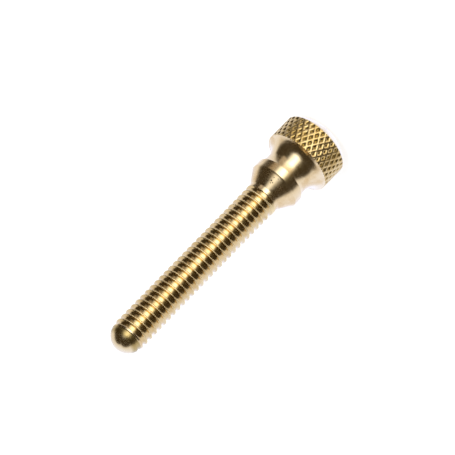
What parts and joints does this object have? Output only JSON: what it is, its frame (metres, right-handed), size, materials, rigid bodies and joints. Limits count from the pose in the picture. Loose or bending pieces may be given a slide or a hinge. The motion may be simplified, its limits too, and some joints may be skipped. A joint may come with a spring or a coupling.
{
  "type": "contact screw",
  "caption": "Turned brass contact screw with a domed tip, a fine right-hand thread, a tapered collar, a flared waist and a diamond-knurled head for setting a gap by hand.",
  "frame": {"origin": "centre of the flat on the crown of the head, on which the screw stands", "axes": "+Z along the screw's axis from the head to the contact tip; +X and +Y across it"},
  "size_m": [0.0082, 0.0082, 0.0352],
  "materials": {
    "turned_brass": "bright turned brass with fine tool marks, lightly handled"
  },
  "bodies": {
    "root": {"contact_screw": "turned_brass"}
  },
  "joints": []
}
